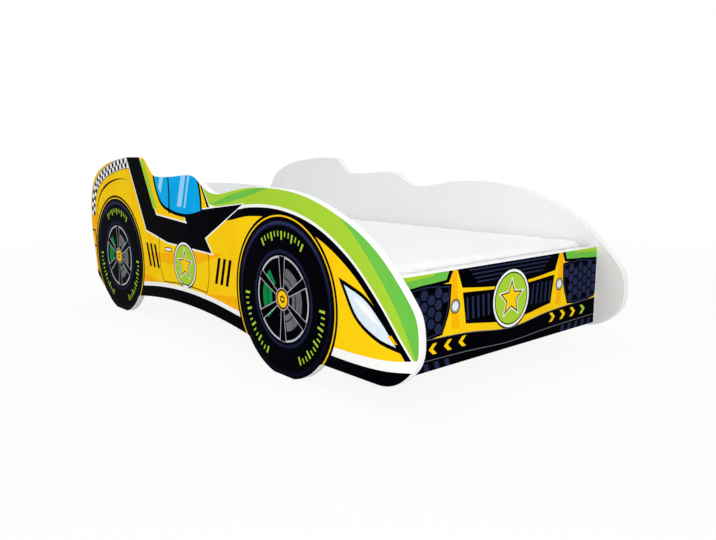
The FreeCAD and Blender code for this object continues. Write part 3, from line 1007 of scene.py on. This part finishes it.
# Webbing, staples and screws: two woven tapes under the slats, stapled to each of them, hold the slats
# apart, and zinc-plated screws with a cross recess hold battens and end slats.
def tape_paint(place):
    warp = (place.axis("Y") * (math.tau / 0.0013)).math("SINE")
    weft = (place.axis("X") * (math.tau / 0.0011)).math("SINE")
    weave = warp * weft
    thread = weave.between(-0.4, 0.7)
    soil = place.noise(35.0)
    return {
        "Base Color": (0.7 * thread + 0.3 * soil).blend(linear(206, 204, 196), linear(240, 239, 234)),
        "Roughness": 0.72 + 0.12 * soil,
        "Normal": weave.bump(0.00025),
    }


class Growth:
    """A Geometry Nodes tree with named sizes that grows a repeated piece on the points it is given."""

    def __init__(self, name, **sizes):
        self.tree = bpy.data.node_groups.new(name, "GeometryNodeTree")
        self.sizes = sizes
        face = self.tree.interface
        face.new_socket("Geometry", in_out="OUTPUT", socket_type="NodeSocketGeometry")
        face.new_socket("Geometry", in_out="INPUT", socket_type="NodeSocketGeometry")
        for size, value in sizes.items():
            kind = {float: "Float", int: "Int"}.get(type(value), "Material")
            face.new_socket(size, in_out="INPUT", socket_type="NodeSocket" + kind)
        self.given = self.tree.nodes.new("NodeGroupInput").outputs

    def add(self, kind, inputs, settings=None, output=0):
        """Adds a node, whose inputs are sockets or plain values, and gives one of its outputs."""
        made = self.tree.nodes.new(kind)
        for name, value in (settings or {}).items():
            setattr(made, name, value)
        for key, value in inputs.items():
            for part in value if isinstance(value, list) else [value]:
                if isinstance(part, bpy.types.NodeSocket):
                    self.tree.links.new(part, made.inputs[key])
                else:
                    made.inputs[key].default_value = part
        return made.outputs[output]

    def attribute(self, name):
        return self.add("GeometryNodeInputNamedAttribute", {"Name": name}, {"data_type": "FLOAT_VECTOR"})

    def random(self, low, high, seed):
        return self.add("FunctionNodeRandomValue", {2: low, 3: high, "Seed": seed}, {"data_type": "FLOAT"}, 1)

    def math(self, operation, first, second):
        return self.add("ShaderNodeMath", {0: first, 1: second}, {"operation": operation})

    def vector(self, x, y, z):
        return self.add("ShaderNodeCombineXYZ", {0: x, 1: y, 2: z})

    def moved(self, geometry, place):
        return self.add("GeometryNodeTransform", {"Geometry": geometry, "Translation": place})

    def end(self, geometry, smooth=False):
        """Ends the tree in real geometry of its material."""
        real = self.add("GeometryNodeRealizeInstances", {0: geometry})
        shaded = self.add("GeometryNodeSetShadeSmooth", {0: real, 2: smooth})
        dressed = self.add("GeometryNodeSetMaterial", {0: shaded, 2: self.given["Material"]})
        self.tree.links.new(dressed, self.tree.nodes.new("NodeGroupOutput").inputs[0])

    def grow(self, name, points, aims, edges=()):
        """Plain mesh piece grown on points, each of which has a vector named aim."""
        mesh = bpy.data.meshes.new(name + "_points")
        mesh.from_pydata(points, edges, [])
        aim = mesh.attributes.new("aim", "FLOAT_VECTOR", "POINT")
        aim.data.foreach_set("vector", [number for vector in aims for number in vector])
        stock = bpy.data.objects.new(name + "_points", mesh)
        scene.collection.objects.link(stock)
        growth = stock.modifiers.new(self.tree.name, "NODES")
        growth.node_group = self.tree
        for item in self.tree.interface.items_tree:
            if item.in_out == "INPUT" and item.name in self.sizes:
                growth[item.identifier] = self.sizes[item.name]
        grown_stock = stock.evaluated_get(bpy.context.evaluated_depsgraph_get())
        piece = bpy.data.objects.new(name, bpy.data.meshes.new_from_object(grown_stock))
        stock.modifiers.remove(growth)
        bpy.data.objects.remove(stock)
        scene.collection.objects.link(piece)
        return piece


dress(finish("webbing_tape", {"Specular IOR Level": 0.25}, tape_paint), "webbing_right", "webbing_left")

webbing_y = (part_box("webbing_left")[0].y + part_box("webbing_left")[1].y) / 2
webbing_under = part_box("webbing_left")[0].z

# Each staple is a flat wire crown with its legs in the slat.
staples = Growth("staples", Crown=0.010, Wire=0.0009, Leg=0.007, Sway=0.12, Seed=7, Material=plated)
size = staples.given
wide = staples.vector(size["Wire"], size["Crown"], size["Wire"])
tall = staples.vector(size["Wire"], size["Wire"], size["Leg"])
half_crown = staples.math("MULTIPLY", size["Crown"], 0.5)
inner_crown = staples.math("SUBTRACT", half_crown, staples.math("MULTIPLY", size["Wire"], 0.5))
half_leg = staples.math("MULTIPLY", size["Leg"], 0.5)
crown = staples.add("GeometryNodeMeshCube", {"Size": wide})
leg = staples.add("GeometryNodeMeshCube", {"Size": tall})
leg_left = staples.moved(leg, staples.vector(0.0, inner_crown, half_leg))
leg_right = staples.moved(leg, staples.vector(0.0, staples.math("MULTIPLY", inner_crown, -1.0), half_leg))
staple = staples.add("GeometryNodeJoinGeometry", {0: [crown, leg_left, leg_right]})
sway = staples.random(staples.math("MULTIPLY", size["Sway"], -1.0), size["Sway"], size["Seed"])
turned = staples.add("FunctionNodeEulerToRotation", {0: staples.vector(0.0, 0.0, sway)})
staples.end(staples.add("GeometryNodeInstanceOnPoints",
                        {"Points": size["Geometry"], "Instance": staple, "Rotation": turned}))

from_slat_middle = 0.016
staple_points = [(x + along, side * webbing_y, webbing_under) for x in slat_middles
                 for along in (-from_slat_middle, from_slat_middle) for side in (-1, 1)]
piece = staples.grow("staples", staple_points, [(0.0, 0.0, 1.0)] * len(staple_points))
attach(piece, "bed_frame")

# Each screw has a low tapered head with a cross recess, and a coarse thread. It is turned as it happens to
# stop.
rail_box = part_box("rail_screws_left")
head_radius = (rail_box[1].z - rail_box[0].z) / 2
screws = {"Head Radius": head_radius, "Head Height": 0.002, "Shank Radius": 0.0017, "Thread Pitch": 0.0022,
          "Recess Depth": 0.0013, "Turn Seed": 11, "Material": plated}


def screw_growth(name, length):
    """Tree of a screw of some length under its head, which lies at the point and looks along its aim."""
    tree = Growth(name, Length=length, **screws)
    size = tree.given
    brow = tree.math("MULTIPLY", size["Head Radius"], 0.8)
    head = tree.add("GeometryNodeMeshCone", {
        "Vertices": 32, "Radius Top": brow, "Radius Bottom": size["Head Radius"],
        "Depth": size["Head Height"]})
    head_top = tree.vector(0.0, 0.0, size["Head Height"])
    slot_long = tree.math("MULTIPLY", size["Head Radius"], 1.15)
    slot_wide = tree.math("MULTIPLY", size["Head Radius"], 0.24)
    slot_deep = tree.math("MULTIPLY", size["Recess Depth"], 2.0)
    # The second slot goes a little deeper, so that no two floors lie in one plane.
    slot_deeper = tree.math("MULTIPLY", slot_deep, 1.06)
    for slot in ((slot_long, slot_wide, slot_deep), (slot_wide, slot_long, slot_deeper)):
        cut = tree.moved(tree.add("GeometryNodeMeshCube", {"Size": tree.vector(*slot)}), head_top)
        head = tree.add("GeometryNodeMeshBoolean", {0: head, 1: cut})
    shank = tree.add("GeometryNodeMeshCone", {
        "Vertices": 16, "Radius Top": size["Shank Radius"], "Depth": size["Length"],
        "Radius Bottom": tree.math("MULTIPLY", size["Shank Radius"], 0.3)})
    threaded = tree.math("MULTIPLY", size["Length"], 0.8)
    turns = tree.math("DIVIDE", threaded, size["Thread Pitch"])
    spiral = tree.add("GeometryNodeCurveSpiral", {
        "Resolution": 14, "Rotations": turns, "Height": threaded, "End Radius": size["Shank Radius"],
        "Start Radius": tree.math("MULTIPLY", size["Shank Radius"], 0.45)})
    ridge = tree.add("GeometryNodeCurvePrimitiveCircle", {"Resolution": 4, "Radius": 0.0003})
    thread = tree.add("GeometryNodeCurveToMesh", {"Curve": spiral, "Profile Curve": ridge, "Fill Caps": True})
    tip = tree.vector(0.0, 0.0, tree.math("MULTIPLY", size["Length"], -1.0))
    screw = tree.add("GeometryNodeJoinGeometry", {0: [head, tree.moved(shank, tip), tree.moved(thread, tip)]})
    spin = tree.random(0.0, math.pi / 2, size["Turn Seed"])
    turned = tree.add("FunctionNodeEulerToRotation", {0: tree.vector(0.0, 0.0, spin)})
    aimed = tree.add("FunctionNodeAlignRotationToVector", {0: turned, 2: tree.attribute("aim")},
                     {"axis": "Z"})
    tree.end(tree.add("GeometryNodeInstanceOnPoints", {"Points": size["Geometry"], "Instance": screw,
                                                       "Rotation": aimed}))
    return tree


rail_screw_count = 4
rail_screw_first, rail_screw_last = rail_box[0].x + head_radius, rail_box[1].x - head_radius
rail_seat_y = rail_box[0].y + screws["Head Height"]
rail_axis_z = (rail_box[0].z + rail_box[1].z) / 2
for side, node in ((-1, "rail_screws_right"), (1, "rail_screws_left")):
    seats = [(rail_screw_first + step * (rail_screw_last - rail_screw_first) / (rail_screw_count - 1),
              side * rail_seat_y, rail_axis_z) for step in range(rail_screw_count)]
    tree = screw_growth(node, rail_box[1].y - rail_seat_y)
    piece = tree.grow(node + "_cut", seats, [(0.0, -side, 0.0)] * len(seats))
    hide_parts(node)
    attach(piece, "bed_frame")

slat_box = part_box("slat_screws")
slat_seat_z = slat_box[1].z - screws["Head Height"]
seats = [(x, side * (slat_box[1].y - head_radius), slat_seat_z)
         for x in (slat_middles[0], slat_middles[-1]) for side in (-1, 1)]
tree = screw_growth("slat_screws", slat_seat_z - slat_box[0].z)
piece = tree.grow("slat_screws_cut", seats, [(0.0, 0.0, 1.0)] * len(seats))
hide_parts("slat_screws")
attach(piece, "bed_frame")


# Mattress: a block of polyurethane foam in a white knitted cover of a top, a bottom and a border, sewn
# together with a piped seam round the top and the bottom. The foam fills the cover out to a low crown.
def block_skin(steps):
    """Numbered cells and quads of the outer skin of a block of a number of steps each way."""
    index, quads = {}, []
    for axis in range(3):
        a, b = [other for other in range(3) if other != axis]
        for end in (0, steps[axis]):
            for i in range(steps[a]):
                for j in range(steps[b]):
                    quad = []
                    for di, dj in ((0, 0), (1, 0), (1, 1), (0, 1)):
                        cell = [0, 0, 0]
                        cell[axis], cell[a], cell[b] = end, i + di, j + dj
                        quad.append(index.setdefault(tuple(cell), len(index)))
                    quads.append(quad)
    return index, quads


def rim_walk(index, steps, level, inset):
    """Numbers of the cells round the block at a level, at its outline or some rows further in."""
    nx, ny, _ = steps
    walk = [(i, 0) for i in range(nx)] + [(nx, j) for j in range(ny)]
    walk += [(nx - i, ny) for i in range(nx)] + [(0, ny - j) for j in range(ny)]
    return [index[(min(max(i, inset), nx - inset), min(max(j, inset), ny - inset), level)] for i, j in walk]


def rounding(a, b):
    """Place in a quarter circle of a point in the square round it."""
    if a <= 0 or b <= 0:
        return a, b
    share = max(a, b) / math.hypot(a, b)
    return a * share, b * share


def soft_block(name, node, material, spacing, corner, bottom_roll, top_roll, crown, draw):
    """Block in a CAD node's box with round corners and rolled edges. Its top sinks by crown towards its
    edges, and its sides are drawn in between the corners. Gives the seam and the row beside it as well."""
    low, high = [Vector(end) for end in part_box(node)]
    half, middle = (high - low) / 2, (low + high) / 2
    steps = [max(4, round(2 * reach / spacing)) for reach in half]
    index, quads = block_skin(steps)
    places = []
    for cell in index:
        x, y, z = [(2 * cell[axis] / steps[axis] - 1) * half[axis] for axis in range(3)]
        in_x, in_y = rounding(abs(x) - half.x + corner, abs(y) - half.y + corner)
        reach_x, reach_y = half.x - corner + in_x, half.y - corner + in_y
        at_corner = in_x > 0 and in_y > 0
        rim = corner - (math.hypot(in_x, in_y) if at_corner else max(in_x, in_y))
        roll = top_roll if z > 0 else bottom_roll
        inward, upward = rounding(roll - rim, roll - half.z + abs(z))
        out_x, out_y = (in_x, in_y) if at_corner else (in_x > in_y, in_x <= in_y)
        pulled = (roll - inward - rim) / math.hypot(out_x, out_y)
        reach_x -= pulled * out_x
        reach_y -= pulled * out_y
        along, across = min(1.0, reach_x / half.x), min(1.0, reach_y / half.y)
        reach_x -= draw * (1 - across ** 2) * along ** 8
        reach_y -= draw * (1 - along ** 4) * across ** 8
        height = math.copysign(half.z - roll + upward, z)
        if z > 0:
            # The top falls away gently towards the long sides, and only close to the ends.
            sag = across ** 4 * (1 - 0.85 * along ** 3) + along ** 24
            height *= 1 - crown * min(1.0, sag) / half.z
        places.append(middle + Vector((math.copysign(reach_x, x), math.copysign(reach_y, y), height)))
    mesh = bpy.data.meshes.new(name)
    mesh.from_pydata(places, [], quads)
    mesh.materials.append(material)
    mesh.polygons.foreach_set("use_smooth", [True] * len(quads))
    piece = solid_piece(name, mesh)
    rows = [[rim_walk(index, steps, level, inset) for inset in (0, 1)] for level in (0, steps[2])]
    return piece, rows


def stuffed(piece, seams, slack, pressure, limit, room):
    """Cloth sewn a little full and pressed out from inside, held at its seams, within the room it has."""
    mesh = piece.data
    held = piece.vertex_groups.new(name="held")
    held.add([vert for seam in seams for vert in seam], 1.0, "REPLACE")
    cloth = piece.modifiers.new("cloth", "CLOTH")
    fabric = cloth.settings
    fabric.quality = 5
    fabric.mass = 0.2
    fabric.tension_stiffness = fabric.compression_stiffness = 12.0
    fabric.shear_stiffness = 4.0
    fabric.bending_stiffness = 0.4
    fabric.shrink_min = -slack
    fabric.use_pressure = True
    fabric.uniform_pressure_force = pressure
    fabric.vertex_group_mass = "held"
    fabric.effector_weights.gravity = 0.0
    cloth.collision_settings.use_collision = False
    for step in range(1, settling_steps + 1):
        scene.frame_set(step)
    swollen = piece.evaluated_get(bpy.context.evaluated_depsgraph_get()).to_mesh()
    before, after = np.empty(len(mesh.vertices) * 3), np.empty(len(mesh.vertices) * 3)
    mesh.vertices.foreach_get("co", before)
    swollen.vertices.foreach_get("co", after)
    move = (after - before).reshape(-1, 3)
    length = np.linalg.norm(move, axis=1, keepdims=True)
    move *= limit * np.tanh(length / limit) / np.maximum(length, 1e-9)
    places = np.clip(before.reshape(-1, 3) + move, *room)
    piece.modifiers.remove(cloth)
    piece.vertex_groups.remove(held)
    mesh.vertices.foreach_set("co", places.ravel())
    scene.frame_set(1)


def knit_paint(place):
    """Fine jersey: rows of stitches, a soft pile, and faint creases painted as shade in wide blotches of its
    colour.
    """
    row = (place.axis("Y") * (math.tau / row_pitch)).math("SINE")
    stitch = (place.axis("X") * (math.tau / loop_pitch) + 1.5 * row).math("SINE")
    loops = 0.6 * stitch + 0.4 * row
    pile = place.noise(900.0, 2.0)
    # Painted shade of faint creases: wide soft blotches that make the knit's colour darker.
    crease_shade = place.noise(7.0, 2.0)
    return {
        "Base Color": (0.6 * crease_shade + 0.2 * pile + 0.1 * loops).between(0.1, 0.9).blend(
            linear(245, 245, 246), linear(251, 251, 251)),
        "Roughness": 0.8 + 0.12 * pile,
        "Normal": (0.25 * loops + pile).bump(0.0002),
    }


def foam_paint(place):
    cells = place.node("TexVoronoi", {}, {"Vector": place, "Scale": 520.0}, "Distance")
    tint = place.noise(6.0)
    return {
        "Base Color": tint.between(0.3, 0.7).blend(linear(246, 240, 214), linear(238, 230, 200)),
        "Roughness": 0.85 + 0.1 * tint,
        "Normal": (1.0 - cells).bump(0.0004),
    }


row_pitch, loop_pitch = 0.0016, 0.0011
knit = finish("mattress_knit", {"Specular IOR Level": 0.2, "Sheen Weight": 0.15, "Sheen Roughness": 0.5},
              knit_paint)
foam = finish("mattress_foam_block", {"Specular IOR Level": 0.2}, foam_paint)

settling_steps = 20
cover, seam_rows = soft_block("mattress_cover_sewn", "mattress_cover", knit, spacing=0.0115, corner=0.062,
                              bottom_roll=0.012, top_roll=0.018, crown=0.006, draw=0.003)
stuffed(cover, [seam for seam, beside in seam_rows], slack=0.035, pressure=2.0, limit=0.007,
        room=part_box("mattress_cover"))

# The cord runs along each seam, and the thread half-way to the next row.
seam_lines = []
for seam, beside in seam_rows:
    cord, thread, facings = [], [], []
    for edge, inner in zip(seam, beside):
        a, b = cover.data.vertices[edge], cover.data.vertices[inner]
        cord.append(a.co.copy())
        thread.append(a.co.lerp(b.co, 0.5) + 0.00015 * (a.normal + b.normal))
        facings.append((a.normal + b.normal).normalized())
    seam_lines.append((cord, thread, facings))

rounds = cover.modifiers.new("rounds", "SUBSURF")
rounds.levels = rounds.render_levels = 1
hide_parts("mattress_cover")
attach(cover, "mattress")

# Piping: a covered cord sewn into each seam, and the row of stitches beside it.
piping = Growth("piping", **{"Cord Radius": 0.0021, "Material": knit})
size = piping.given
line = piping.add("GeometryNodeMeshToCurve", {0: size["Geometry"]})
smooth = piping.add("GeometryNodeCurveSplineType", {0: line}, {"spline_type": "CATMULL_ROM"})
ring = piping.add("GeometryNodeCurvePrimitiveCircle", {"Resolution": 8, "Radius": size["Cord Radius"]})
piping.end(piping.add("GeometryNodeCurveToMesh", {"Curve": smooth, "Profile Curve": ring}), True)


def thread_paint(place):
    twist = place.noise(400.0).between(0.3, 0.7)
    return {
        "Base Color": twist.blend(linear(236, 236, 238), linear(222, 222, 226)),
        "Roughness": 0.6 + 0.2 * place.noise(900.0),
        "Normal": place.noise(2500.0).bump(0.0001),
    }


sewing_thread = finish("sewing_thread", {"Specular IOR Level": 0.3, "Sheen Weight": 0.2}, thread_paint)
stitches = Growth("stitches", **{"Stitch Pitch": 0.0062, "Stitch Length": 0.0042, "Thread Radius": 0.00035,
                                 "Material": sewing_thread})
size = stitches.given
line = stitches.add("GeometryNodeMeshToCurve", {0: size["Geometry"]})
points = stitches.add("GeometryNodeCurveToPoints", {"Curve": line, "Length": size["Stitch Pitch"]},
                      {"mode": "LENGTH"})
tangent = points.node.outputs["Tangent"]
along = stitches.add("FunctionNodeAlignRotationToVector", {2: tangent}, {"axis": "X"})
facing = stitches.add("FunctionNodeAlignRotationToVector", {0: along, 2: stitches.attribute("aim")},
                      {"axis": "Z", "pivot_axis": "X"})
bead = stitches.add("GeometryNodeMeshUVSphere", {"Segments": 6, "Rings": 4, "Radius": 0.5})
slim = stitches.math("MULTIPLY", size["Thread Radius"], 2.0)
stretch = stitches.vector(size["Stitch Length"], slim, slim)
stitches.end(stitches.add("GeometryNodeInstanceOnPoints", {
    "Points": points, "Instance": bead, "Rotation": facing, "Scale": stretch}), True)

for level, (cord, thread, facings) in zip(("bottom", "top"), seam_lines):
    edges = [(number, (number + 1) % len(cord)) for number in range(len(cord))]
    for growth, places in ((piping, cord), (stitches, thread)):
        piece = growth.grow("mattress_%s_%s" % (growth.tree.name, level), places, facings, edges)
        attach(piece, "mattress")

block, _ = soft_block("mattress_foam_cut", "mattress_foam", foam, spacing=0.02, corner=0.045,
                      bottom_roll=0.006, top_roll=0.01, crown=0.004, draw=0.002)
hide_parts("mattress_foam")
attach(block, "mattress")

low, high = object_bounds()
